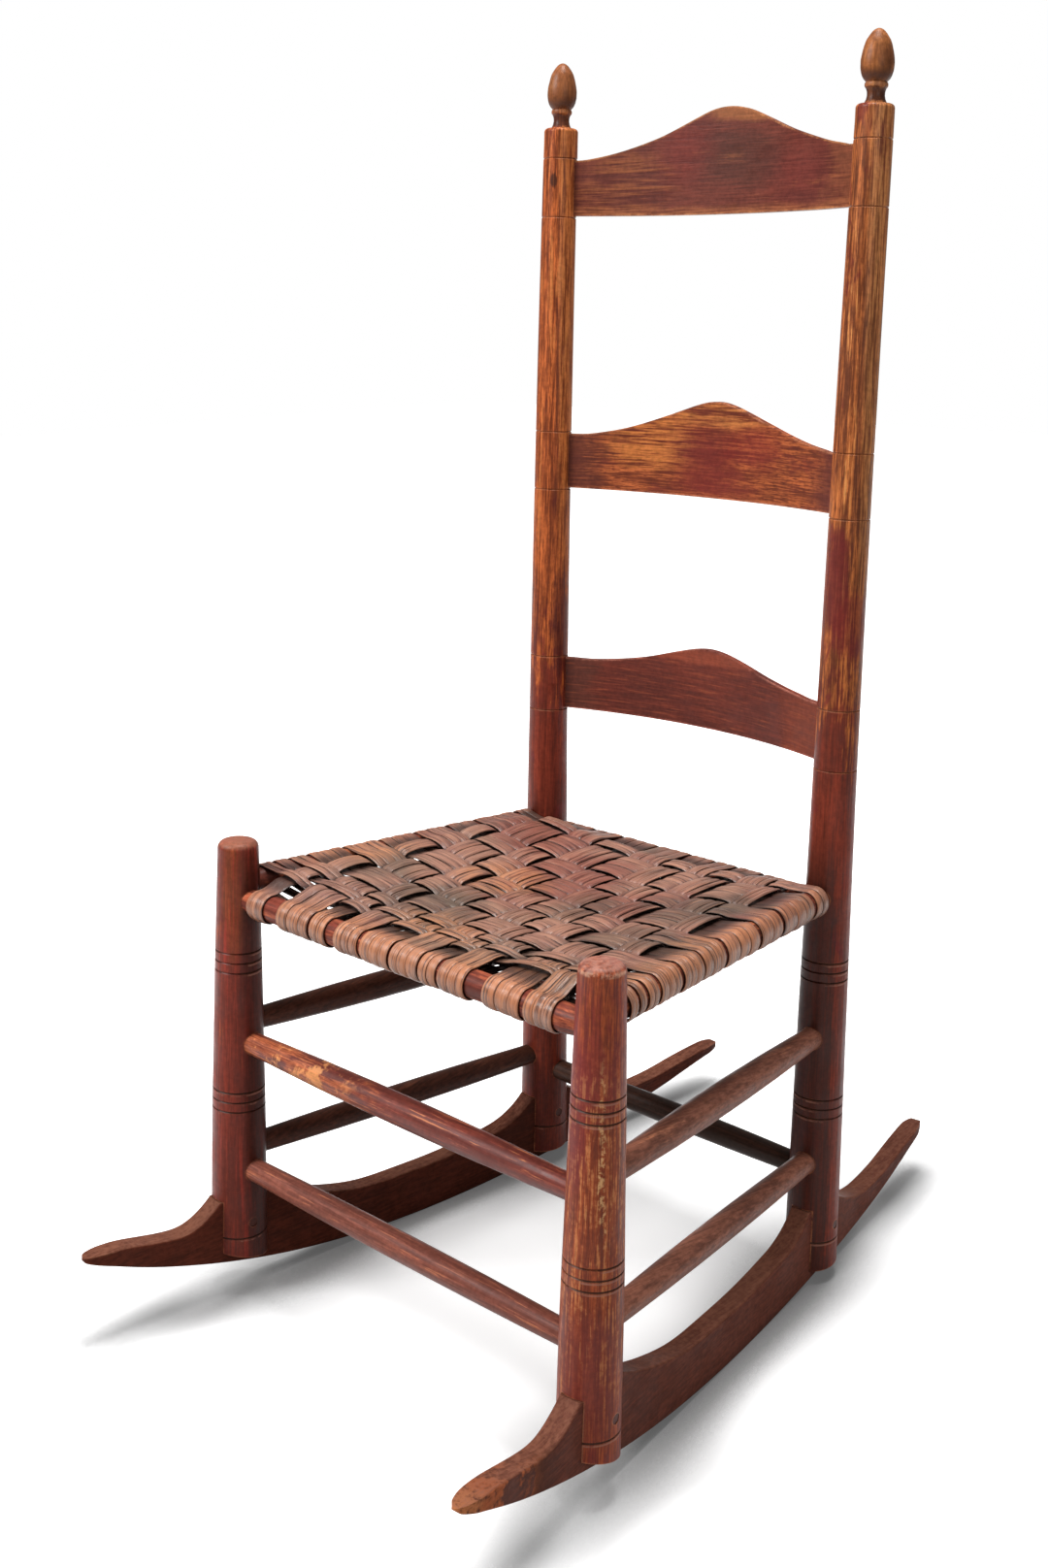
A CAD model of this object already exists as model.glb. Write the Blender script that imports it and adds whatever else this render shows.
"""Looks of an old ladder-back rocking chair with a woven splint seat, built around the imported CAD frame."""

import math

import bpy
import numpy as np
from mathutils import Matrix, Vector


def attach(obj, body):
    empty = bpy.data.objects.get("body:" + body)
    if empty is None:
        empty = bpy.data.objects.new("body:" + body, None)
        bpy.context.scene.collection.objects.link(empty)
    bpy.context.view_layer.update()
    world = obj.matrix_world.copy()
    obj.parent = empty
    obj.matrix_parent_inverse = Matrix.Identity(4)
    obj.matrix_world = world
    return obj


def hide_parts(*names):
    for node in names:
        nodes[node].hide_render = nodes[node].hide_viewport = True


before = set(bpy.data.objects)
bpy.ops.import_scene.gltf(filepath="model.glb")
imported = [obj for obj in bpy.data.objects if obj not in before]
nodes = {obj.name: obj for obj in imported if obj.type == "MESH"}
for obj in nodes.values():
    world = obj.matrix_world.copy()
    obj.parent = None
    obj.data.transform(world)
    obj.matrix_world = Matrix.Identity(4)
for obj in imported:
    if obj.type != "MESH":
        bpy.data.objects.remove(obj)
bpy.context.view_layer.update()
scene = bpy.context.scene
scene.view_settings.view_transform = "Standard"

MM = 0.001

# The chair's own upright frame, in millimetres, leans back by this turn and shift on the floor.
LEAN_SIN = 0.0436194
LEAN_COS = 0.999048
LEAN_X = -0.457328
LEAN_Y = -2.66956
LEAN_Z = -3.84502

# Sizes of the seat in that frame: its rails and the splints round them.
SEAT_FRONT = -222.0
SEAT_DEPTH = 348.871
SEAT_BACK = SEAT_FRONT + SEAT_DEPTH
FRONT_HALF = 204.5
BACK_HALF = 164.37
SIDE_BACK_HALF = 164.4537
SIDE_DEPTH = 348.748
RAIL_LOW = 351.1
RAIL_HIGH = 362.7
WRAP_RADIUS = 12.0
SAG = 5.0
THICK = 1.2
LAYER = 1.0


def turned(vector):
    """A direction of the upright chair, in the leaning chair."""
    x, y, z = vector
    return Vector((x, LEAN_COS * y + LEAN_SIN * z, -LEAN_SIN * y + LEAN_COS * z))


def placed(points):
    """Points of the upright chair in millimetres, as metres in the row frame."""
    points = np.asarray(points, float)
    x, y, z = points[..., 0], points[..., 1], points[..., 2]
    out = np.empty_like(points)
    out[..., 0] = x + LEAN_X
    out[..., 1] = LEAN_COS * y + LEAN_SIN * z + LEAN_Y
    out[..., 2] = -LEAN_SIN * y + LEAN_COS * z + LEAN_Z
    return out * MM


# Camera

CAMERA_PLACE = (957.47, -1122.08, 833.08)
CAMERA_RIGHT = (0.74040189, 0.67170067, 0.02496487)
CAMERA_UP = (-0.12423663, 0.1002535, 0.98717501)
CAMERA_BACK = (0.6605833, -0.7340078, 0.15767771)
PHOTO_WIDTH = 1080
PHOTO_HEIGHT = 1616
FOCAL_PIXELS = 1807.5
CENTRE_PIXELS = (567.4048, 634.2766)
SENSOR = 36.0

camera_data = bpy.data.cameras.new("camera")
camera_data.sensor_width = SENSOR
camera_data.lens = FOCAL_PIXELS / PHOTO_HEIGHT * SENSOR
camera_data.shift_x = (PHOTO_WIDTH / 2 - CENTRE_PIXELS[0]) / PHOTO_HEIGHT
camera_data.shift_y = (CENTRE_PIXELS[1] - PHOTO_HEIGHT / 2) / PHOTO_HEIGHT
camera = bpy.data.objects.new("camera", camera_data)
scene.collection.objects.link(camera)
axes = [turned(CAMERA_RIGHT), turned(CAMERA_UP), turned(CAMERA_BACK)]
matrix = Matrix([[axis[row] for axis in axes] for row in range(3)]).to_4x4()
matrix.translation = Vector(placed(CAMERA_PLACE))
camera.matrix_world = matrix
scene.camera = camera


# Node graphs

def tone(red, green, blue):
    """Linear colour of three screen values from 0 to 255."""
    out = []
    for value in (red, green, blue):
        value = value / 255
        out.append(value / 12.92 if value <= 0.04045 else ((value + 0.055) / 1.055) ** 2.4)
    return (*out, 1.0)


def tones(*screen_values):
    return [tone(*value) for value in screen_values]


class Graph:
    """A material's node tree, whose helpers return output sockets."""

    def __init__(self, name):
        self.material = bpy.data.materials.new(name)
        self.material.use_nodes = True
        self.tree = self.material.node_tree
        self.tree.nodes.clear()
        coordinates = self.add("ShaderNodeTexCoord")
        self.place = coordinates.outputs["Object"]
        self.uv = coordinates.outputs["UV"]

    def add(self, kind, inputs=(), **settings):
        node = self.tree.nodes.new(kind)
        for key, value in settings.items():
            setattr(node, key, value)
        for key, value in dict(inputs).items():
            if isinstance(value, bpy.types.NodeSocket):
                self.tree.links.new(value, node.inputs[key])
            else:
                node.inputs[key].default_value = value
        return node

    def math(self, operation, one, two=0.0, clamp=False):
        node = self.add("ShaderNodeMath", {0: one, 1: two}, operation=operation, use_clamp=clamp)
        return node.outputs[0]

    def plus(self, one, two):
        return self.math("ADD", one, two)

    def minus(self, one, two):
        return self.math("SUBTRACT", one, two)

    def times(self, one, two):
        return self.math("MULTIPLY", one, two)

    def plus_share(self, one, two, share):
        return self.plus(one, self.times(two, share))

    def weighted(self, *pairs):
        """Sum of values, each times its weight."""
        terms = [self.times(value, weight) for value, weight in pairs]
        total = terms[-1]
        for term in reversed(terms[:-1]):
            total = self.plus(term, total)
        return total

    def band(self, value, low, high, out_low=0.0, out_high=1.0):
        """Smooth step of a value from low to high."""
        inputs = {0: value, 1: low, 2: high, 3: out_low, 4: out_high}
        return self.add("ShaderNodeMapRange", inputs, interpolation_type="SMOOTHSTEP").outputs[0]

    def grey(self, value):
        """Colour whose three channels are the value."""
        return self.add("ShaderNodeCombineColor", {0: value, 1: value, 2: value}).outputs[0]

    def mix(self, share, one, two, blend="MIX"):
        node = self.add("ShaderNodeMix", data_type="RGBA", blend_type=blend)
        for key, value in ((0, share), (6, one), (7, two)):
            if isinstance(value, bpy.types.NodeSocket):
                self.tree.links.new(value, node.inputs[key])
            else:
                node.inputs[key].default_value = value
        return node.outputs[2]

    def stretched(self, vector, scale, turn=(0, 0, 0), shift=(0, 0, 0)):
        """A vector turned, then scaled on each axis."""
        if any(turn) or any(shift):
            inputs = {"Vector": vector, "Rotation": turn, "Location": shift}
            vector = self.add("ShaderNodeMapping", inputs).outputs[0]
        return self.add("ShaderNodeMapping", {"Vector": vector, "Scale": scale}).outputs[0]

    def noise(self, vector, scale=1.0, detail=3.0, roughness=0.5, distortion=0.0):
        inputs = {"Vector": vector, "Scale": scale, "Detail": detail,
                  "Roughness": roughness, "Distortion": distortion}
        return self.add("ShaderNodeTexNoise", inputs).outputs[0]

    def measure(self, way, centre=(0, 0, 0)):
        """Distance in metres along a direction of the upright chair from a place in it."""
        inputs = {0: self.place, 1: turned(way)}
        dot = self.add("ShaderNodeVectorMath", inputs, operation="DOT_PRODUCT").outputs["Value"]
        start = Vector(placed(centre)).dot(turned(way))
        return self.minus(dot, start)

    def far(self, *values):
        """Length of the vector whose components are given."""
        total = 0.0
        for value in values:
            total = self.plus(self.times(value, value), total)
        return self.math("SQRT", total)

    def lines(self, height, places, half):
        """1 in narrow bands of a half width round the given heights, 0 elsewhere."""
        total = 0.0
        for place in places:
            away = self.math("ABSOLUTE", self.minus(height, place))
            total = self.math("MAXIMUM", total, self.band(away, half, half * 0.3))
        return total

    def worn_edge(self, radius, low=0.02, high=0.16):
        """1 at the edges of the piece, from how far a rounded normal turns from the real one."""
        bevel = self.add("ShaderNodeBevel", {"Radius": radius}, samples=6)
        face = self.add("ShaderNodeNewGeometry").outputs["Normal"]
        inputs = {0: bevel.outputs[0], 1: face}
        dot = self.add("ShaderNodeVectorMath", inputs, operation="DOT_PRODUCT").outputs["Value"]
        return self.band(self.minus(1.0, dot), low, high)

    def crevice(self, distance, samples=6):
        """1 in the open, towards 0 where other pieces are close."""
        inputs = {"Distance": distance}
        return self.add("ShaderNodeAmbientOcclusion", inputs, samples=samples).outputs["AO"]

    def finish(self, colour, rough, bump, strength, distance, specular):
        """The finished material, from its colour, roughness and height."""
        shader = self.add("ShaderNodeBsdfPrincipled")
        self.tree.links.new(colour, shader.inputs["Base Color"])
        self.tree.links.new(rough, shader.inputs["Roughness"])
        shader.inputs["Specular IOR Level"].default_value = specular
        inputs = {"Height": bump, "Strength": strength, "Distance": distance}
        normal = self.add("ShaderNodeBump", inputs).outputs[0]
        self.tree.links.new(normal, shader.inputs["Normal"])
        output = self.add("ShaderNodeOutputMaterial")
        self.tree.links.new(shader.outputs[0], output.inputs[0])
        return self.material


# Old painted wood

# Turned rings and scribed lines of the posts, as heights and half widths in metres.
RINGS = (0.0485, 0.1646, 0.1732, 0.1818, 0.289, 0.2976, 0.3062)
RING_HALF = 0.0013
LIP_BELOW = 0.0021
LIP_HALF = 0.0011
SCRIBED = (0.475, 0.5274, 0.6886, 0.7431, 0.9417, 0.9953)
SCRIBED_HALF = 0.0011

GROOVE_DARK = tone(30, 12, 8)
LIP_PALE = tone(176, 122, 104)
SCRIBED_DARK = tone(40, 20, 14)
CORNER_DARK = tone(22, 9, 6)
CORNER_REACH = 0.02
RELIEF_DEPTH = 0.0006
SEED_STEPS = (1.7, 0.9, 2.3)

# Fixed direction in the chair, out of its front right corner, that places colours round a post.
ROUND_POSTS = CAMERA_RIGHT

# How the grain runs on each axis, and the turn that lays it along the piece.
LEAN = math.radians(2.5)
SIDE_TURN = math.radians(6.7)
GRAIN = {
    "x": (("along", "across", "across"), (0, 0, 0)),
    "y": (("across", "along", "across"), (0, 0, 0)),
    "z": (("across", "across", "along"), (LEAN, 0, 0)),
    "slat": (("along", "none", "across"), (0, 0, 0)),
    "left": (("across", "along", "across"), (0, 0, -SIDE_TURN)),
    "right": (("across", "along", "across"), (0, 0, SIDE_TURN)),
}


class Marks:
    """Places and noises on one wooden piece, for the functions that spread its colours."""

    def __init__(self, g, grain, seed, axis):
        ways, turn = GRAIN[grain]
        shift = tuple(seed * step for step in SEED_STEPS)

        def grained(across, along, detail, roughness, distortion=0.0):
            waves = {"across": across, "along": along, "none": 0}
            scale = [waves[way] for way in ways]
            return g.noise(g.stretched(g.place, scale, turn, shift), 1.0, detail, roughness, distortion)

        def even(waves, detail, roughness, distortion=0.0):
            vector = g.stretched(g.place, (waves, waves, waves), (0, 0, 0), shift)
            return g.noise(vector, 1.0, detail, roughness, distortion)

        self.g = g
        self.band = g.band
        self.h = g.measure((0, 0, 1))
        self.x = g.measure((1, 0, 0))
        self.y = g.measure((0, 1, 0))
        self.side = g.measure(ROUND_POSTS, axis)
        self.streak = grained(520, 26, 4.0, 0.6, 0.25)
        self.figure = grained(150, 8, 3.0, 0.55, 0.6)
        self.fleck = grained(900, 90, 2.0, 0.55)
        self.blotch = grained(42, 15, 4.0, 0.62, 0.5)
        self.cloud = even(6, 3.0, 0.5)
        self.patch = even(26, 4.0, 0.62, 0.4)
        self.speck = even(230, 3.0, 0.6)
        self.grainy = g.weighted((self.streak, 0.55), (self.figure, 0.45))

    def times(self, *shares):
        """Product of several shares."""
        total = shares[-1]
        for share in reversed(shares[:-1]):
            total = self.g.times(share, total)
        return total

    def ragged(self, value, amount=1.0):
        """A value shaken by the noises, so that a limit on it runs unevenly."""
        g = self.g
        shake = g.weighted((g.minus(self.patch, 0.5), 0.9), (g.minus(self.streak, 0.5), 0.7))
        return g.plus(value, g.times(shake, amount))

    def blob(self, place, level, wide, high, along="x", soft=0.3):
        """1 in a ragged round patch; its place and half sizes are in metres."""
        g = self.g
        one = g.times(g.minus(getattr(self, along), place), 1 / wide)
        two = g.times(g.minus(self.h, level), 1 / high)
        return g.band(self.ragged(g.far(one, two), 1.3), 1 + soft, 1 - soft)

    def zone(self, value, low, high, soft, amount=0.0):
        """1 between two limits, which amount makes ragged."""
        g = self.g
        value = self.ragged(value, amount) if amount else value
        return g.times(g.band(value, low - soft, low + soft), g.band(value, high + soft, high - soft))


def timber(name, grain, colours, wear, seed, spots=(), rings=(), scribed=(), axis=(0, 0, 0), rim=None,
           rim_size=0.0025, rim_share=0.6, where=None, rough=0.4, dust=None, fleck=0.7, specular=0.15):
    """Wood under worn paint.

    colours are the bare wood, its grain, the paint and its dark parts. wear is the share left bare, and
    where adds to it. Each spot is a colour and its share. rings and scribed are heights of dark lines,
    axis is a place on the piece's middle line, rim colours its worn edges and dust its upper faces.
    """
    g = Graph(name)
    m = Marks(g, grain, seed, axis)
    bare, bare_dark, paint, paint_dark = colours
    wood = g.mix(g.band(m.grainy, 0.4, 0.6), bare_dark, bare)
    wood = g.mix(g.times(g.band(m.fleck, 0.5, 0.62), fleck), wood, bare_dark)
    coat = g.mix(g.band(g.weighted((m.cloud, 0.4), (m.grainy, 0.6)), 0.4, 0.6), paint_dark, paint)
    coat = g.mix(g.times(g.band(m.fleck, 0.54, 0.7), fleck * 0.6), coat, paint_dark)
    worn = g.plus(g.weighted((m.blotch, 0.6), (m.grainy, 0.4)), wear - 0.5)
    if where is not None:
        worn = g.plus(worn, where(m))
    colour = g.mix(g.band(worn, 0.46, 0.55), coat, wood)
    for shade, share in spots:
        colour = g.mix(share(m), colour, shade)
    if rim is not None:
        edge = g.times(g.worn_edge(rim_size), g.band(g.plus_share(m.patch, m.speck, 0.3), 0.5, 0.75))
        colour = g.mix(g.times(edge, rim_share), colour, rim)
    if dust is not None:
        face = g.add("ShaderNodeNewGeometry").outputs["Normal"]
        up = g.add("ShaderNodeSeparateXYZ", {0: face}).outputs[2]
        cover = g.weighted((m.cloud, 0.4), (m.speck, 0.3), (m.streak, 0.3))
        colour = g.mix(g.times(g.band(up, 0.35, 0.85), g.band(cover, 0.36, 0.6, 0.25, 0.95)), colour, dust)
    tint = g.band(g.weighted((m.streak, 0.5), (m.speck, 0.5)), 0.36, 0.64, 0.8, 1.18)
    colour = g.mix(1.0, colour, g.grey(tint), "MULTIPLY")
    if rings:
        line = g.times(g.lines(m.h, rings, RING_HALF), g.band(m.patch, 0.3, 0.5, 0.35, 0.85))
        colour = g.mix(line, colour, GROOVE_DARK)
        lip = g.lines(m.h, [place - LIP_BELOW for place in rings], LIP_HALF)
        lip = g.times(lip, g.band(g.plus_share(m.patch, m.speck, 0.2), 0.56, 0.7, 0.0, 0.6))
        colour = g.mix(lip, colour, LIP_PALE)
    if scribed:
        line = g.times(g.lines(m.h, scribed, SCRIBED_HALF), g.band(m.patch, 0.4, 0.64, 0.05, 0.4))
        colour = g.mix(line, colour, SCRIBED_DARK)
    close = g.band(g.crevice(CORNER_REACH), 0.25, 0.85)
    colour = g.mix(g.minus(0.7, g.times(close, 0.7)), colour, CORNER_DARK)
    gloss = g.band(m.patch, 0.3, 0.7, rough - 0.06, rough + 0.1)
    gloss = g.plus(gloss, g.times(g.minus(m.streak, 0.5), 0.25))
    relief = g.weighted((m.grainy, 0.8), (m.fleck, 0.4), (m.speck, 0.25))
    return g.finish(colour, gloss, relief, 0.4, RELIEF_DEPTH, specular)


def spot(place, level, wide, high, share, along="x", soft=0.3):
    """A ragged round patch with its share, for the spots of timber."""
    return lambda m: m.times(m.blob(place, level, wide, high, along, soft), share)


def dress(names, material):
    """Give the named pieces of the frame a material."""
    for name in names:
        node = nodes[name]
        if not node.material_slots:
            node.data.materials.append(material)
        for slot in node.material_slots:
            slot.material = material


# Place on the middle line of each post where its sides are measured from, in millimetres.
POST_FOOT = (161.7, 131.8)
POST_SPREAD = 0.0076
POST_SLANT = 0.0146
BEND_START = 250.5
BEND_WIDTH = 53800
AXIS_LEVEL = 700


def back_axis(side):
    bend = (AXIS_LEVEL - BEND_START) ** 2 / BEND_WIDTH
    x = side * (POST_FOOT[0] + POST_SPREAD * AXIS_LEVEL)
    return x, POST_FOOT[1] - POST_SLANT * AXIS_LEVEL + bend, AXIS_LEVEL


def post_wear(m):
    """The back posts are worn bare above the seat and keep their paint below it."""
    return m.band(m.ragged(m.h, 0.16), 0.36, 0.66, -0.2, 0.13)


BURGUNDY = tone(108, 38, 36)
GOLD = tone(206, 128, 70)
NIGHT = tone(38, 18, 12)
BACK_RIM = tone(206, 132, 92)

FINIAL_SPOTS = (
    (tone(152, 92, 50), lambda m: m.band(m.h, 1.039, 1.043, 0.0, 0.8)),
    (tone(92, 50, 30), lambda m: m.times(m.band(m.h, 1.039, 1.041), m.band(m.patch, 0.44, 0.6, 0.0, 0.7))),
    (tone(86, 48, 30), lambda m: m.zone(m.h, 1.04, 1.048, 0.004)),
    (tone(206, 146, 92), lambda m: m.times(
        m.zone(m.side, -0.012, 0.0, 0.004, 0.01), m.band(m.h, 1.05, 1.062),
        m.band(m.grainy, 0.44, 0.6, 0, 0.75))),
    (tone(70, 38, 28), lambda m: m.times(m.zone(m.h, 1.0245, 1.0352, 0.0015), 0.85)),
    (tone(186, 128, 90), lambda m: m.times(m.zone(m.h, 1.0362, 1.0395, 0.0012), 0.4)),
)
DARK_TIP = (tone(104, 62, 42), lambda m: m.band(m.h, 1.04, 1.044, 0.0, 0.55))

dress(["back_post_left"], timber(
    "back_post_left_wood", "z", tones((196, 102, 52), (116, 54, 28), (134, 54, 36), (96, 38, 26)),
    wear=0.5, seed=3, where=post_wear, rings=RINGS, scribed=SCRIBED, axis=back_axis(-1), rim=BACK_RIM,
    spots=(
        (BURGUNDY, lambda m: m.times(m.band(m.blotch, 0.57, 0.66), 0.75)),
        (GOLD, lambda m: m.times(m.band(m.h, 0.6, 0.7), m.band(m.figure, 0.54, 0.66, 0.0, 0.5))),
        (GOLD, lambda m: m.times(
            m.band(m.h, 0.55, 0.7), m.band(m.side, 0.003, 0.009), m.band(m.streak, 0.4, 0.6, 0.1, 0.6))),
        (tone(84, 34, 30), spot(0.008, 0.56, 0.008, 0.05, 0.7, "side")),
        (tone(50, 26, 18), spot(0.001, 0.975, 0.003, 0.006, 0.8, "side")),
        *FINIAL_SPOTS,
        DARK_TIP,
    )))
dress(["back_post_right"], timber(
    "back_post_right_wood", "z", tones((194, 110, 58), (108, 56, 32), (136, 56, 38), (98, 42, 30)),
    wear=0.49, seed=7, where=post_wear, rings=RINGS, scribed=SCRIBED, axis=back_axis(1), rim=BACK_RIM,
    spots=(
        (BURGUNDY, lambda m: m.times(m.band(m.blotch, 0.57, 0.66), 0.75)),
        (GOLD, lambda m: m.times(m.band(m.h, 0.6, 0.7), m.band(m.figure, 0.56, 0.66, 0.0, 0.45))),
        (tone(206, 138, 84), lambda m: m.times(
            m.band(m.h, 0.55, 0.7), m.band(m.side, 0.003, 0.009), m.band(m.streak, 0.4, 0.6, 0.15, 0.75))),
        (tone(222, 160, 92), lambda m: m.times(
            m.zone(m.side, -0.007, 0.002, 0.002, 0.02), m.zone(m.h, 0.64, 0.94, 0.05, 0.2),
            m.band(m.streak, 0.54, 0.66, 0.0, 0.5))),
        (BURGUNDY, spot(-0.011, 0.633, 0.009, 0.05, 0.85, "side")),
        (tone(120, 40, 34), spot(0.002, 0.6, 0.014, 0.03, 0.6, "side")),
        (NIGHT, lambda m: m.times(
            m.band(m.ragged(m.side, 0.012), -0.002, -0.009), m.band(m.h, 0.44, 0.38, 0.0, 0.72))),
        (tone(176, 108, 88), lambda m: m.times(
            m.zone(m.side, 0.0185, 0.022, 0.001, 0.01), m.band(m.h, 0.5, 0.3, 0.0, 0.5))),
        *FINIAL_SPOTS,
    )))
dress(["front_post_left"], timber(
    "front_post_left_wood", "z", tones((166, 78, 48), (104, 44, 28), (134, 54, 40), (100, 40, 29)),
    wear=0.4, seed=11, rings=RINGS, axis=(-FRONT_HALF, SEAT_FRONT, 0), rim=tone(176, 108, 74), fleck=0.45,
    spots=(
        (tone(152, 84, 44), spot(0.008, 0.36, 0.01, 0.05, 0.3, "side")),
        (tone(160, 58, 46), lambda m: m.times(m.band(m.figure, 0.54, 0.64), 0.6)),
        (NIGHT, lambda m: m.times(
            m.band(m.ragged(m.side, 0.006), 0.008, 0.018), m.band(m.h, 0.4, 0.37, 0.1, 0.66))),
        (tone(150, 100, 80), lambda m: m.times(m.band(m.h, 0.396, 0.4), 0.6)),
    )))
dress(["front_post_right"], timber(
    "front_post_right_wood", "z", tones((172, 84, 50), (112, 50, 32), (134, 56, 43), (104, 43, 33)),
    wear=0.47, seed=13, where=lambda m: m.zone(m.h, 0.09, 0.28, 0.04, 0.14), rings=RINGS,
    axis=(FRONT_HALF, SEAT_FRONT, 0), rim=tone(200, 132, 96),
    spots=(
        (tone(126, 46, 42), spot(-0.012, 0.31, 0.014, 0.07, 0.8, "side")),
        (tone(118, 48, 40), spot(0.0, 0.09, 0.026, 0.06, 0.75, "side", 0.6)),
        (tone(214, 150, 96), lambda m: m.times(
            m.zone(m.h, 0.12, 0.34, 0.05, 0.2),
            m.band(m.g.plus_share(m.streak, m.speck, 0.4), 0.72, 0.84), 0.4)),
        (tone(224, 176, 124), lambda m: m.times(
            m.zone(m.side, 0.009, 0.0125, 0.001, 0.012), m.zone(m.h, 0.2, 0.33, 0.02, 0.1),
            m.band(m.speck, 0.45, 0.6, 0.0, 0.8))),
        (tone(158, 112, 98), lambda m: m.times(
            m.band(m.h, 0.3985, 0.4005), m.band(m.speck, 0.3, 0.6, 0.3, 0.8))),
        (tone(214, 168, 142), lambda m: m.times(
            m.zone(m.h, 0.3955, 0.3985, 0.0012, 0.002), m.band(m.speck, 0.4, 0.6, 0.0, 0.6))),
    )))

dress(["top_slat"], timber(
    "top_slat_wood", "slat", tones((146, 82, 52), (98, 50, 36), (112, 54, 42), (92, 44, 36)),
    wear=0.4, seed=17, rim=tone(204, 138, 88), rim_size=0.004, rim_share=0.85, fleck=0.5,
    spots=(
        (tone(142, 82, 48), lambda m: m.times(
            m.blob(-0.105, 0.972, 0.05, 0.028), m.band(m.grainy, 0.44, 0.6, 0, 0.7))),
        (tone(150, 88, 54), lambda m: m.times(m.band(m.ragged(m.x, 0.08), 0.112, 0.142), 0.35)),
        (tone(168, 104, 60), spot(0.03, 1.03, 0.05, 0.008, 0.6)),
        (tone(160, 96, 60), lambda m: m.times(
            m.band(m.ragged(m.h, 0.012), 0.953, 0.946), m.band(m.streak, 0.4, 0.6, 0.2, 0.8))),
        (tone(78, 44, 36), spot(0.015, 0.99, 0.05, 0.025, 0.6)),
        (tone(120, 40, 36), spot(-0.045, 1.0, 0.024, 0.026, 0.4, soft=0.8)),
        (tone(112, 40, 38), spot(0.085, 0.975, 0.034, 0.026, 0.4, soft=0.8)),
    )))
dress(["middle_slat"], timber(
    "middle_slat_wood", "slat", tones((180, 96, 54), (104, 46, 28), (134, 60, 40), (98, 42, 30)),
    wear=0.55, seed=19, rim=tone(212, 140, 104), rim_size=0.004, rim_share=0.85, fleck=1.0,
    spots=(
        (tone(202, 124, 62), lambda m: m.times(
            m.blob(-0.065, 0.738, 0.05, 0.026), m.band(m.grainy, 0.42, 0.58, 0, 0.6))),
        (tone(204, 130, 68), lambda m: m.times(
            m.blob(0.01, 0.765, 0.05, 0.012), m.band(m.grainy, 0.42, 0.58, 0, 0.6))),
        (tone(112, 40, 34), spot(-0.01, 0.727, 0.032, 0.028, 0.8, soft=0.7)),
        (tone(132, 44, 38), spot(0.046, 0.738, 0.026, 0.018, 0.55, soft=0.8)),
        (tone(122, 44, 38), spot(0.0, 0.7, 0.04, 0.012, 0.6, soft=0.8)),
        (tone(92, 46, 36), lambda m: m.band(m.ragged(m.x, 0.08), -0.1, -0.135, 0.0, 0.85)),
        (tone(98, 46, 38), lambda m: m.band(m.ragged(m.x, 0.06), 0.11, 0.145, 0.0, 0.85)),
    )))
dress(["bottom_slat"], timber(
    "bottom_slat_wood", "slat", tones((136, 68, 46), (92, 42, 32), (112, 50, 38), (90, 40, 32)),
    wear=0.38, seed=23, rim=tone(196, 124, 106), rim_size=0.004, rim_share=0.85, fleck=0.5,
    spots=(
        (tone(88, 48, 38), lambda m: m.band(m.ragged(m.x, 0.05), -0.1, -0.13, 0.0, 0.7)),
        (tone(126, 58, 38), lambda m: m.band(m.ragged(m.x, 0.05), 0.08, 0.12, 0.0, 0.7)),
        (tone(150, 80, 52), lambda m: m.times(m.band(m.streak, 0.55, 0.68), 0.4)),
        (tone(150, 74, 52), spot(-0.01, 0.542, 0.06, 0.006, 0.6)),
    )))

dress(["front_rung_upper"], timber(
    "front_rung_upper_wood", "x", tones((190, 104, 68), (138, 68, 46), (132, 62, 50), (104, 48, 40)),
    wear=0.42, seed=29, where=lambda m: m.band(m.ragged(m.x, 0.1), 0.02, -0.12, 0.0, 0.12), specular=0.25,
    spots=(
        (tone(232, 156, 96), lambda m: m.times(
            m.band(m.ragged(m.x, 0.06), -0.02, -0.09),
            m.band(m.g.plus_share(m.patch, m.speck, 0.35), 0.66, 0.76), 0.8)),
        (tone(222, 140, 90), lambda m: m.times(m.band(m.streak, 0.6, 0.7), 0.6)),
    )))
dress(["front_rung_lower"], timber(
    "front_rung_lower_wood", "x", tones((176, 106, 76), (132, 76, 58), (146, 84, 68), (114, 64, 53)),
    wear=0.4, seed=31,
    spots=((tone(206, 130, 86), lambda m: m.times(m.band(m.streak, 0.62, 0.7), 0.6)),)))
dress(["back_rung"], timber(
    "back_rung_wood", "x", tones((96, 60, 44), (70, 44, 33), (72, 46, 36), (54, 36, 28)),
    wear=0.36, seed=37))
for side, first_seed, shades in (
        ("left", 43, tones((104, 60, 44), (70, 40, 30), (82, 46, 34), (60, 34, 26))),
        ("right", 45, tones((188, 122, 92), (138, 88, 68), (156, 100, 80), (118, 74, 60)))):
    for level, later in (("upper", 0), ("lower", 2)):
        name = "side_rung_%s_%s" % (level, side)
        dress([name], timber(name + "_wood", side, shades, wear=0.4, seed=first_seed + later))

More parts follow.
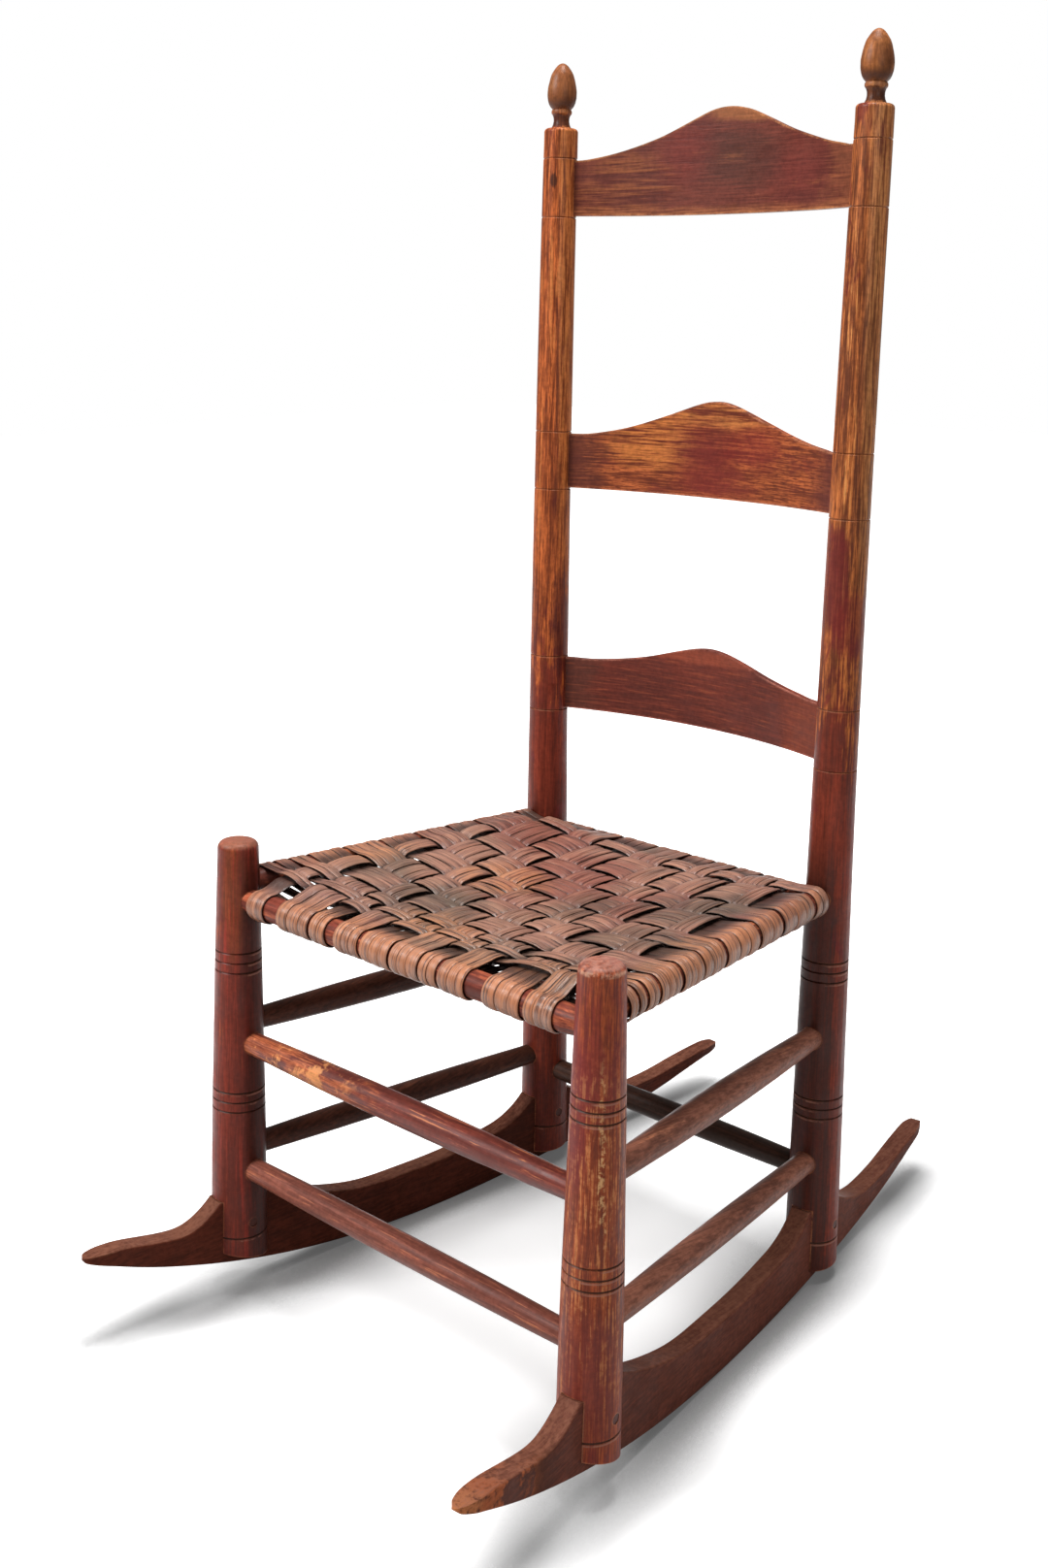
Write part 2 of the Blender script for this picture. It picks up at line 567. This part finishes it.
HORN_SPOTS = (
    (tone(44, 26, 18), lambda m: m.times(
        m.band(m.ragged(m.y, 0.05), -0.26, -0.3), m.band(m.patch, 0.4, 0.6, 0.15, 0.8))),
    (tone(176, 96, 60), lambda m: m.times(
        m.band(m.ragged(m.y, 0.05), -0.28, -0.32),
        m.band(m.g.plus_share(m.patch, m.speck, 0.3), 0.6, 0.7), 0.85)),
    (tone(196, 122, 78), lambda m: m.times(
        m.band(m.ragged(m.y, 0.03), -0.35, -0.37),
        m.band(m.g.plus_share(m.speck, m.patch, 0.5), 0.55, 0.75, 0.0, 0.85))),
)
RAIL_SHADES = tones((168, 96, 64), (122, 66, 46), (110, 54, 42), (80, 38, 30))
for side, seed, spots, shades in (
        ("left", 53, (), tones((118, 60, 42), (80, 42, 30), (98, 48, 35), (76, 37, 27))),
        ("right", 59, HORN_SPOTS, tones((136, 76, 58), (100, 56, 44), (118, 66, 52), (96, 53, 42)))):
    dress(["rocker_" + side], timber(
        "rocker_%s_wood" % side, "y", shades, wear=0.3, seed=seed, spots=spots, rim=tone(150, 96, 72),
        rim_size=0.003, rim_share=0.7, dust=tone(116, 74, 58), specular=0.05, rough=0.5))
    dress(["seat_rail_" + side], timber(
        "seat_rail_%s_wood" % side, side, RAIL_SHADES, wear=0.45, seed=seed + 1))
dress(["seat_rail_front", "seat_rail_back"], timber(
    "seat_rail_wood", "x", tones((176, 92, 62), (126, 62, 44), (126, 58, 44), (92, 42, 33)),
    wear=0.5, seed=61))
dress(["front_peg_left", "front_peg_right", "back_peg_left", "back_peg_right"], timber(
    "peg_wood", "x", tones((98, 48, 36), (72, 34, 26), (86, 40, 30), (66, 30, 22)),
    wear=0.4, seed=67))


# Splint seat

# Left and right edge of each warp on the front rail and then on the back rail, from -1 to 1.
WARP_SHARES = (
    (-0.868, -0.766, -0.944, -0.862),
    (-0.681, -0.489, -0.865, -0.645),
    (-0.476, -0.383, -0.621, -0.425),
    (-0.332, -0.192, -0.403, -0.170),
    (-0.178, -0.017, -0.149, 0.069),
    (-0.008, 0.145, 0.085, 0.239),
    (0.153, 0.243, 0.255, 0.387),
    (0.255, 0.391, 0.409, 0.558),
    (0.481, 0.664, 0.584, 0.765),
    (0.685, 0.822, 0.781, 0.868),
)
# Front and back edge of each weft on the left rail and then on the right rail, from 0 to 1.
WEFT_SHARES = (
    (0.063, 0.100, 0.062, 0.089),
    (0.108, 0.145, 0.098, 0.123),
    (0.153, 0.198, 0.132, 0.170),
    (0.208, 0.307, 0.181, 0.262),
    (0.316, 0.417, 0.272, 0.353),
    (0.428, 0.534, 0.360, 0.447),
    (0.543, 0.640, 0.458, 0.599),
    (0.650, 0.737, 0.610, 0.707),
    (0.745, 0.879, 0.716, 0.864),
    (0.892, 0.935, 0.879, 0.937),
)
# The first warp is a filler, tucked in at this share of the depth.
FILLER_END_SHARE = 0.765

# Where each splint is split lengthwise, as shares of its width.
WARP_SPLITS = ((), (0.34, 0.7), (0.5,), (0.36, 0.66), (0.36, 0.68), (0.3, 0.62), (0.5,), (0.4, 0.72),
               (0.36, 0.7), (0.34, 0.64))
WEFT_SPLITS = ((0.55,), (0.45,), (0.5,), (0.34, 0.68), (0.3, 0.64), (0.4, 0.72), (0.38, 0.7), (0.5,),
               (0.42, 0.7), (0.5,))
SPLIT_GAP = 0.9


def rail_half(y):
    """Half width of the seat at a depth, to the middle of a side rail."""
    return FRONT_HALF + (SIDE_BACK_HALF - FRONT_HALF) * (y - SEAT_FRONT) / SIDE_DEPTH


def smooth(value):
    value = np.clip(value, 0, 1)
    return value * value * (3 - 2 * value)


def seat_level(x, y, face):
    """Height of the upper (1) or lower (-1) layer of the seat."""
    edge = np.minimum(np.abs(x) / rail_half(y), 1.0) ** 2
    depth = 2 * (y - SEAT_FRONT) / SEAT_DEPTH - 1
    rails = RAIL_LOW + (RAIL_HIGH - RAIL_LOW) * edge
    return rails + face * WRAP_RADIUS - SAG * (1 - edge) * (1 - depth ** 2)


def warp_x(index, side, y):
    """x of a warp's left (0) or right (1) edge at a depth."""
    front = WARP_SHARES[index][side] * FRONT_HALF
    back = WARP_SHARES[index][side + 2] * BACK_HALF
    return front + (back - front) * (y - SEAT_FRONT) / SEAT_DEPTH


def weft_ends(index, side):
    """Plan ends of a weft's front (0) or back (1) edge on the left and the right rail."""
    left = SEAT_FRONT + WEFT_SHARES[index][side] * SEAT_DEPTH
    right = SEAT_FRONT + WEFT_SHARES[index][side + 2] * SEAT_DEPTH
    return (-rail_half(left), left), (rail_half(right), right)


def weft_y(index, side, x):
    (left_x, left_y), (right_x, right_y) = weft_ends(index, side)
    return left_y + (right_y - left_y) * (x - left_x) / (right_x - left_x)


def warp_is_over(warp, weft):
    return (warp + weft) % 2 == 1


def wander(rng, count, knots, size):
    """A smooth random line of a given size, closed on itself."""
    values = rng.uniform(-1, 1, knots)
    values = np.append(values, values[0])
    spots = np.linspace(0, knots, count, endpoint=False)
    low = spots.astype(int)
    share = smooth(spots - low)
    return size * (values[low] * (1 - share) + values[low + 1] * share)


CLIMB_MARGIN = 1.2
CROWN_BELOW = -0.35
CROWN_OVERHANG = 3.0
FULL_CROWN_LENGTH = 30


def wave(place, crossings, start, end):
    """Layer from -1 to 1 and crown from -0.35 to 1 along a splint. crossings holds, for each splint it
    crosses, the near and the far edge, and +1 where it passes over."""
    lift = np.zeros_like(place)
    crown = np.zeros_like(place)
    last_edge, last_sign = start, 0.0
    for near, far, sign in crossings + [(end, end, 0.0)]:
        margin = np.minimum(CLIMB_MARGIN, 0.25 * (far - near) + 0.3)
        share = smooth((place - last_edge + margin) / (near - last_edge + 2 * margin))
        here = last_sign + (sign - last_sign) * share
        lift = np.where(place >= last_edge - margin, here, lift)
        if sign:
            reach = far - near + 2 * CROWN_OVERHANG
            share = np.clip((place - near + CROWN_OVERHANG) / reach, 0, 1)
            rise = (1.0 if sign > 0 else CROWN_BELOW) * np.sin(math.pi * share) ** 0.8
            crown = crown + rise * np.minimum(1, reach / FULL_CROWN_LENGTH)
        last_edge, last_sign = far, sign
    return lift, crown


# Places across a strand with their share of its thickness, and steps along it and round a rail.
COLUMNS = np.array([0.0, 0.05, 0.16, 0.36, 0.64, 0.84, 0.95, 1.0])
EDGE_THICKNESS = np.array([0.4, 0.85, 1.0, 1.0, 1.0, 1.0, 0.85, 0.4])
STEP = 2.2
TURN_STEPS = 14

# How unevenly the strands run: turns of their random lines, heights and lengths in millimetres, and
# shares.
SEEDS = {"warp": 5, "weft": 1005}
SEED_STEP = 17
NEAR_KNOTS = 23
FAR_KNOTS = 19
WOBBLE_KNOTS = 31
WOBBLE = 0.3
INNER_WANDER = 0.4
INNER_GAP = 0.12
LIFT_CHANGE = (-0.1, 0.25)
CROWN_HEIGHT = (1.3, 2.7)
SETTLE = 24
WRAP_CLEAR = 0.2
WRAP_CREST = 0.85


def blurred(values, reach):
    """Running mean of a closed row of values."""
    kernel = np.ones(2 * reach + 1) / (2 * reach + 1)
    return np.convolve(np.concatenate([values[-reach:], values, values[:reach]]), kernel, "valid")


def splint_ends(kind, index):
    """Plan ends of both edges of a splint, and the height of the rails that it goes round."""
    if kind == "warp":
        starts = [(WARP_SHARES[index][side] * FRONT_HALF, SEAT_FRONT) for side in (0, 1)]
        ends = [(WARP_SHARES[index][side + 2] * BACK_HALF, SEAT_BACK) for side in (0, 1)]
        return np.array(starts), np.array(ends), RAIL_LOW
    starts, ends = zip(*[weft_ends(index, side) for side in (0, 1)])
    return np.array(starts), np.array(ends), RAIL_HIGH


def lie(kind, index, x, y, face):
    """Layer, crown and middle height of a splint at places on the upper or lower face."""
    if kind == "warp":
        crossings = [(weft_y(j, 0, x), weft_y(j, 1, x), 1.0 if warp_is_over(index, j) else -1.0)
                     for j in range(len(WEFT_SHARES))]
        lift, crown = wave(y, crossings, np.full_like(y, SEAT_FRONT), np.full_like(y, SEAT_BACK))
        settle = smooth((y - SEAT_FRONT) / SETTLE) * smooth((SEAT_BACK - y) / SETTLE)
        flat = RAIL_LOW + face * WRAP_RADIUS
        return lift, crown, flat + (seat_level(x, y, face) - flat) * settle
    crossings = [(warp_x(i, 0, y), warp_x(i, 1, y), -1.0 if warp_is_over(i, index) else 1.0)
                 for i in range(len(WARP_SHARES))]
    lift, crown = wave(x, crossings, -rail_half(y), rail_half(y))
    return lift, crown, seat_level(x, y, face)


def strand(rng, kind, index, low, high, share_gap):
    """One strand of a splint as closed rows: its middle surface, outward direction, crest, shares
    across the splint, and how far it lies round a rail. share_gap is the gap at a split."""
    top = np.linspace(0, 1, int(SEAT_DEPTH / STEP))
    half = np.linspace(0, 1, TURN_STEPS + 2)[1:-1]
    rows = len(top) * 2 + len(half) * 2
    near = wander(rng, rows, NEAR_KNOTS, share_gap)
    far = wander(rng, rows, FAR_KNOTS, share_gap)
    lows = low + (INNER_WANDER * near + INNER_GAP * share_gap if low > 0 else np.abs(near))
    highs = high - (INNER_WANDER * far + INNER_GAP * share_gap if high < 1 else np.abs(far))
    across = lows[:, None] + (highs - lows)[:, None] * COLUMNS[None, :]
    lift_scale = 1.0 + rng.uniform(*LIFT_CHANGE)
    crown_scale = rng.uniform(*CROWN_HEIGHT)
    wobble = wander(rng, rows, WOBBLE_KNOTS, WOBBLE)
    starts, ends, rail = splint_ends(kind, index)
    ways = (ends - starts) / np.linalg.norm(ends - starts, axis=1)[:, None]

    def pick(values, shares):
        return values[0] + (values[1] - values[0]) * shares[..., None]

    points = np.zeros((rows, len(COLUMNS), 3))
    out = np.zeros((rows, 3))
    crest = np.zeros((rows, len(COLUMNS)))
    wrap = np.zeros(rows)
    for face, first in ((1, 0), (-1, len(top) + len(half))):
        flat = slice(first, first + len(top))
        spots = top if face == 1 else top[::-1]
        shares = across[flat]
        plan = pick(starts, shares) + (pick(ends, shares) - pick(starts, shares)) * spots[:, None, None]
        x, y = plan[..., 0], plan[..., 1]
        lift, crown, level = lie(kind, index, x, y, face)
        swell = LAYER * lift * lift_scale + crown * crown_scale
        points[flat] = np.stack([x, y, level + face * swell], axis=-1)
        out[flat, 2] = face
        crest[flat] = np.where(lift > 0, np.maximum(crown, 0) * 0.7 + 0.3 * lift, lift)

        turn = slice(flat.stop, flat.stop + len(half))
        shares = across[turn]
        centre = pick(ends if face == 1 else starts, shares)
        way = pick(ways if face == 1 else -ways, shares)
        angle = math.pi * half
        cosine, sine = np.cos(angle) * face, np.sin(angle)
        radius = WRAP_RADIUS + WRAP_CLEAR
        points[turn, :, :2] = centre + way * (radius * sine)[:, None, None]
        points[turn, :, 2] = rail + (radius * cosine)[:, None]
        out[turn, :2] = (way * sine[:, None, None]).mean(axis=1)
        out[turn, 2] = cosine
        crest[turn] = WRAP_CREST
        wrap[turn] = 1.0
    bulge = 1 - (2 * COLUMNS - 1) ** 2
    arch = 0.4 + 0.8 * np.clip(crest.mean(axis=1), 0, 1) * (1 - 0.6 * wrap)
    arch = blurred(arch, 2)
    points += out[:, None, :] * (arch[:, None] * bulge[None, :] + wobble[:, None])[:, :, None]
    return points, out, crest, across, blurred(wrap, 3)


def ribbon(points, out, crest, across, wrap, width, tone_value, shift, keep=None):
    """Vertices, faces, texture places and values of a closed or, with keep, an open ribbon."""
    rows, columns = crest.shape
    closed = keep is None
    if not closed:
        points, out, crest, across, wrap = points[keep], out[keep], crest[keep], across[keep], wrap[keep]
        rows = len(keep)
    along = np.gradient(points, axis=0)
    if closed:
        along = (np.roll(points, -1, axis=0) - np.roll(points, 1, axis=0)) / 2
    sideways = np.gradient(points, axis=1)
    normal = np.cross(along, sideways)
    normal /= np.linalg.norm(normal, axis=2)[..., None] + 1e-12
    turn = np.sign((normal * out[:, None, :]).sum(axis=2).mean())
    normal *= turn
    half = THICK / 2 * EDGE_THICKNESS[None, :, None]
    skin = np.concatenate([points + normal * half, (points - normal * half)[:, ::-1]], axis=1)
    around = skin.shape[1]
    steps = np.linalg.norm(np.diff(points.mean(axis=1), axis=0), axis=1)
    lengths = np.concatenate([[0], np.cumsum(steps)])
    lengths = np.append(lengths, lengths[-1] + STEP)
    spots = across * width
    spots = np.concatenate([spots, spots[:, ::-1]], axis=1)
    faces, texture = [], []
    last = rows if closed else rows - 1
    for one in range(last):
        two = (one + 1) % rows
        for k in range(around):
            n = (k + 1) % around
            face = (one * around + k, one * around + n, two * around + n, two * around + k)
            where = ((lengths[one], spots[one, k]), (lengths[one], spots[one, n]),
                     (lengths[one + 1], spots[two, n]), (lengths[one + 1], spots[two, k]))
            if turn < 0:
                face, where = face[::-1], where[::-1]
            faces.append(face)
            texture.extend(where)
    if not closed:
        for row, flip in ((0, turn > 0), (rows - 1, turn < 0)):
            for k in range(columns - 1):
                mate = around - 1 - k
                face = tuple(row * around + j for j in (k, k + 1, mate - 1, mate))
                where = tuple((lengths[row], spots[row, j]) for j in (k, k + 1, mate - 1, mate))
                if not flip:
                    face, where = face[::-1], where[::-1]
                faces.append(face)
                texture.extend(where)
    texture = np.array(texture) * MM + np.array(shift)
    side = np.abs(2 * np.concatenate([COLUMNS, COLUMNS[::-1]]) - 1)
    fields = {
        "crest": np.concatenate([crest, crest[:, ::-1]], axis=1).ravel(),
        "side": np.tile(side, rows),
        "strip": np.full(rows * around, tone_value),
        "wrap": np.repeat(wrap, around),
    }
    return placed(skin.reshape(-1, 3)), faces, texture, fields


def splint(name, parts, material):
    """One mesh object of several ribbons."""
    vertices, faces, texture, values = [], [], [], {}
    for points, part_faces, places, fields in parts:
        shift = len(vertices)
        vertices.extend(map(tuple, points))
        faces.extend(tuple(index + shift for index in face) for face in part_faces)
        texture.append(places)
        for key, field in fields.items():
            values.setdefault(key, []).append(field)
    mesh = bpy.data.meshes.new(name)
    mesh.from_pydata(vertices, [], faces)
    layer = mesh.uv_layers.new(name="strip")
    layer.data.foreach_set("uv", np.concatenate(texture).astype(np.float32).ravel())
    for key, fields in values.items():
        attribute = mesh.attributes.new(key, "FLOAT", "POINT")
        attribute.data.foreach_set("value", np.concatenate(fields).astype(np.float32))
    mesh.polygons.foreach_set("use_smooth", [True] * len(mesh.polygons))
    mesh.materials.append(material)
    mesh.update()
    piece = bpy.data.objects.new(name, mesh)
    scene.collection.objects.link(piece)
    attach(piece, "root")
    return piece


# Places on the seat where the bark is darker or paler: x, y and half sizes in metres.
WINE_PLACES = ((-0.02, 0.015, 0.06, 0.06), (0.065, -0.033, 0.05, 0.05), (-0.106, 0.057, 0.05, 0.05))
MOSS_PLACES = ((-0.047, -0.155, 0.055, 0.04), (-0.147, -0.113, 0.03, 0.05), (0.115, -0.023, 0.05, 0.04),
               (0.048, -0.051, 0.03, 0.04), (0.131, -0.101, 0.04, 0.04), (0.15, -0.19, 0.03, 0.03))
TAN_PLACES = ((-0.005, -0.181, 0.045, 0.03), (-0.04, -0.235, 0.09, 0.03), (0.12, -0.225, 0.06, 0.04),
              (0.2, -0.092, 0.03, 0.12), (-0.063, -0.048, 0.04, 0.03), (-0.175, -0.099, 0.03, 0.06))


def bark(name):
    """Old splint bark, darker between the strands and paler on its crests."""
    g = Graph(name)
    plan_x, plan_y = g.measure((1, 0, 0)), g.measure((0, 1, 0))

    def field(key):
        return g.add("ShaderNodeAttribute", attribute_name=key).outputs["Fac"]

    crest, side, strip, wrap = field("crest"), field("side"), field("strip"), field("wrap")
    fibre = g.noise(g.stretched(g.uv, (16, 560, 1)), 1.0, 4.0, 0.66, 0.15)
    thread = g.noise(g.stretched(g.uv, (50, 2200, 1)), 1.0, 2.0, 0.5)
    patch = g.noise(g.stretched(g.uv, (24, 70, 1)), 1.0, 4.0, 0.6)
    mottle = g.noise(g.stretched(g.uv, (150, 400, 1)), 1.0, 3.0, 0.6)
    region = g.noise(g.stretched(g.place, (11, 11, 11), (0, 0, 0), (3, 5, 8)), 1.0, 3.0, 0.55)
    moss = g.noise(g.stretched(g.place, (14, 14, 14), (0, 0, 0), (31, 2, 4)), 1.0, 3.0, 0.55)
    wine = g.noise(g.stretched(g.place, (9, 9, 9), (0, 0, 0), (7, 21, 4)), 1.0, 3.0, 0.55)

    def spread(places):
        total = 0.0
        for x, y, wide, deep in places:
            one, two = g.times(g.minus(plan_x, x), 1 / wide), g.times(g.minus(plan_y, y), 1 / deep)
            away = g.plus_share(g.far(one, two), g.minus(g.plus_share(region, patch, 0.4), 0.7), 2.0)
            total = g.math("MAXIMUM", total, g.band(away, 1.4, 0.6))
        return total

    base = g.mix(strip, tone(92, 60, 52), tone(142, 102, 88))
    base = g.mix(g.band(patch, 0.44, 0.6, 0.0, 0.7), base, tone(118, 76, 66))
    base = g.mix(g.band(wine, 0.5, 0.6, 0.0, 0.4), base, tone(124, 68, 58))
    base = g.mix(g.band(moss, 0.5, 0.6, 0.0, 0.5), base, tone(86, 82, 68))
    shine = g.plus(g.plus(g.times(crest, 0.3), g.times(region, 0.8)), g.times(g.plus(patch, fibre), 0.25))
    base = g.mix(g.band(shine, 0.74, 0.95, 0.0, 0.55), base, tone(170, 122, 100))
    base = g.mix(g.times(spread(WINE_PLACES), 0.65), base, tone(126, 64, 54))
    base = g.mix(g.times(spread(MOSS_PLACES), 0.55), base, tone(74, 68, 58))
    pale = g.times(spread(TAN_PLACES), g.band(g.plus_share(fibre, patch, 0.5), 0.6, 0.9, 0.1, 0.75))
    base = g.mix(pale, base, tone(188, 124, 84))
    rail = g.times(wrap, g.band(g.plus_share(patch, fibre, 0.5), 0.6, 0.9, 0.1, 1.0))
    base = g.mix(g.times(rail, 0.7), base, g.mix(strip, tone(128, 78, 56), tone(184, 116, 78)))
    base = g.mix(g.band(fibre, 0.52, 0.36, 0.0, 0.8), base, tone(56, 34, 30))
    base = g.mix(g.band(fibre, 0.56, 0.7, 0.0, 0.5), base, tone(200, 150, 120))
    base = g.mix(g.band(thread, 0.58, 0.72, 0.0, 0.3), base, tone(196, 156, 134))
    seam = g.times(g.band(side, 0.9, 1.0, 0.0, 0.6), g.minus(1.0, g.times(wrap, 0.6)))
    base = g.mix(seam, base, tone(40, 24, 20))
    base = g.mix(g.band(crest, 0.15, -0.6, 0.0, 0.75), base, tone(38, 23, 19))
    base = g.mix(g.band(mottle, 0.42, 0.28, 0.0, 0.45), base, tone(52, 32, 27))
    close = g.band(g.crevice(0.006), 0.3, 0.9)
    base = g.mix(g.minus(0.75, g.times(close, 0.75)), base, tone(18, 9, 7))
    rough = g.band(g.weighted((fibre, 0.5), (patch, 0.5)), 0.35, 0.65, 0.26, 0.42)
    relief = g.weighted((fibre, 0.8), (thread, 0.3), (mottle, 0.3))
    return g.finish(base, rough, relief, 0.8, 0.0008, 0.42)


splint_bark = bark("splint_bark")


def weave(kind, index, splits):
    """Build a warp or a weft from its strands, in place of the frame's plain one."""
    rng = np.random.default_rng(SEEDS[kind] + SEED_STEP * index)
    if kind == "warp":
        width = (WARP_SHARES[index][1] - WARP_SHARES[index][0]) * FRONT_HALF
    else:
        width = (WEFT_SHARES[index][1] - WEFT_SHARES[index][0]) * SEAT_DEPTH
    cuts = [0.0, *splits, 1.0]
    shade = rng.uniform(0, 1)
    parts = []
    for low, high in zip(cuts, cuts[1:]):
        points, out, crest, across, wrap = strand(rng, kind, index, low, high, SPLIT_GAP / width)
        keep = None
        if kind == "warp" and index == 0:
            count = int(SEAT_DEPTH / STEP)
            stop = int(count * FILLER_END_SHARE)
            under_from = count + TURN_STEPS + (count - stop)
            keep = list(range(under_from, len(crest))) + list(range(stop))
        shift = (rng.uniform(0, 9), rng.uniform(0, 9))
        tint = np.clip(shade + rng.uniform(-0.15, 0.15), 0, 1)
        parts.append(ribbon(points, out, crest, across, wrap, width, tint, shift, keep))
    name = "%s_splint_%02d" % (kind, index + 1)
    piece = splint("woven_" + name, parts, splint_bark)
    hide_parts(name)


for index, splits in enumerate(WARP_SPLITS):
    weave("warp", index, splits)
for index, splits in enumerate(WEFT_SPLITS):
    weave("weft", index, splits)


# Floor, light and background

# The rockers' place on the floor, and how far off the chair shades it, in metres.
ROCKER_OFF = 0.178
ROCKER_SPLAY = 0.121
CONTACT_REACH = 0.15
HORN_REACH = 0.24
HORN_WIDTH = 0.06
HORN_START = (0.2, 0.3)
SHADE_SAMPLES = 24
HORN_SHADE = 0.66
CONTACT_LIGHT = 0.16
GLOW = (0.5, 1.0)
GLOW_RISE = (0.7, 1.6)
BOUNCE = (0.2, 0.19, 0.18, 1)
FLOOR_REACH = 8.0
WORLD_LIGHT = 0.26


def staged_floor():
    """White floor that keeps a soft shadow close to the chair."""
    g = Graph("floor_white")
    path = g.add("ShaderNodeLightPath")
    seen = g.math("MAXIMUM", path.outputs["Is Camera Ray"], path.outputs["Is Glossy Ray"])
    seen = g.math("MAXIMUM", seen, path.outputs["Is Transmission Ray"])
    across, along = g.measure((1, 0, 0)), g.measure((0, 1, 0))
    away = g.far(across, along)
    contact = g.crevice(CONTACT_REACH, SHADE_SAMPLES)
    above = g.crevice(HORN_REACH, SHADE_SAMPLES)
    spread = g.plus_share(g.math("ABSOLUTE", across), along, ROCKER_SPLAY)
    from_rocker = g.math("ABSOLUTE", g.minus(spread, ROCKER_OFF))
    past_foot = g.band(g.math("ABSOLUTE", along), *HORN_START)
    under_horn = g.times(g.band(from_rocker, HORN_WIDTH, 0.0), past_foot)
    horn_shade = g.times(under_horn, g.band(above, 0.99, 0.88, 0.0, HORN_SHADE))
    open_share = g.times(g.band(contact, 0.45, 0.97, CONTACT_LIGHT, 1.0), g.minus(1.0, horn_shade))
    pale = g.grey(open_share)
    seen_floor = g.add("ShaderNodeBsdfDiffuse", {"Color": pale})
    glow = g.add("ShaderNodeEmission", {"Color": pale, "Strength": g.band(away, *GLOW_RISE, *GLOW)})
    both = g.add("ShaderNodeAddShader")
    g.tree.links.new(seen_floor.outputs[0], both.inputs[0])
    g.tree.links.new(glow.outputs[0], both.inputs[1])
    unseen = g.add("ShaderNodeBsdfDiffuse", {"Color": BOUNCE})
    mixed = g.add("ShaderNodeMixShader", {0: seen})
    g.tree.links.new(unseen.outputs[0], mixed.inputs[1])
    g.tree.links.new(both.outputs[0], mixed.inputs[2])
    output = g.add("ShaderNodeOutputMaterial")
    g.tree.links.new(mixed.outputs[0], output.inputs[0])
    mesh = bpy.data.meshes.new("floor")
    corners = [(x * FLOOR_REACH, y * FLOOR_REACH, 0) for x, y in ((-1, -1), (1, -1), (1, 1), (-1, 1))]
    mesh.from_pydata(corners, [], [(0, 1, 2, 3)])
    mesh.materials.append(g.material)
    floor = bpy.data.objects.new("floor", mesh)
    scene.collection.objects.link(floor)


def world_light():
    """Even white light, and a white background where the camera looks past the floor."""
    world = bpy.data.worlds.new("studio")
    scene.world = world
    world.use_nodes = True
    tree = world.node_tree
    tree.nodes.clear()
    path = tree.nodes.new("ShaderNodeLightPath")
    seen = tree.nodes.new("ShaderNodeMath")
    seen.operation = "MAXIMUM"
    tree.links.new(path.outputs["Is Camera Ray"], seen.inputs[0])
    tree.links.new(path.outputs["Is Transmission Ray"], seen.inputs[1])
    strength = tree.nodes.new("ShaderNodeMapRange")
    strength.inputs[3].default_value = WORLD_LIGHT
    strength.inputs[4].default_value = 1.0
    tree.links.new(seen.outputs[0], strength.inputs[0])
    background = tree.nodes.new("ShaderNodeBackground")
    background.inputs[0].default_value = (1, 1, 1, 1)
    tree.links.new(strength.outputs[0], background.inputs[1])
    output = tree.nodes.new("ShaderNodeOutputWorld")
    tree.links.new(background.outputs[0], output.inputs[0])


def lamp(name, place, target, size, power):
    """Soft round lamp at a place, in metres, that points at a target."""
    data = bpy.data.lights.new(name, "AREA")
    data.shape = "DISK"
    data.size = size
    data.energy = power
    light = bpy.data.objects.new(name, data)
    light.location = place
    light.rotation_mode = "QUATERNION"
    light.rotation_quaternion = (Vector(target) - Vector(place)).to_track_quat("-Z", "Y")
    scene.collection.objects.link(light)


staged_floor()
world_light()
lamp("key", (-1.3, -2.1, 2.5), (0.0, 0.0, 0.5), 1.3, 88)
lamp("overhead", (0.05, 0.1, 3.0), (0.0, 0.0, 0.3), 1.0, 62)
lamp("fill", (2.4, -1.2, 1.6), (0.0, 0.0, 0.5), 1.4, 16)
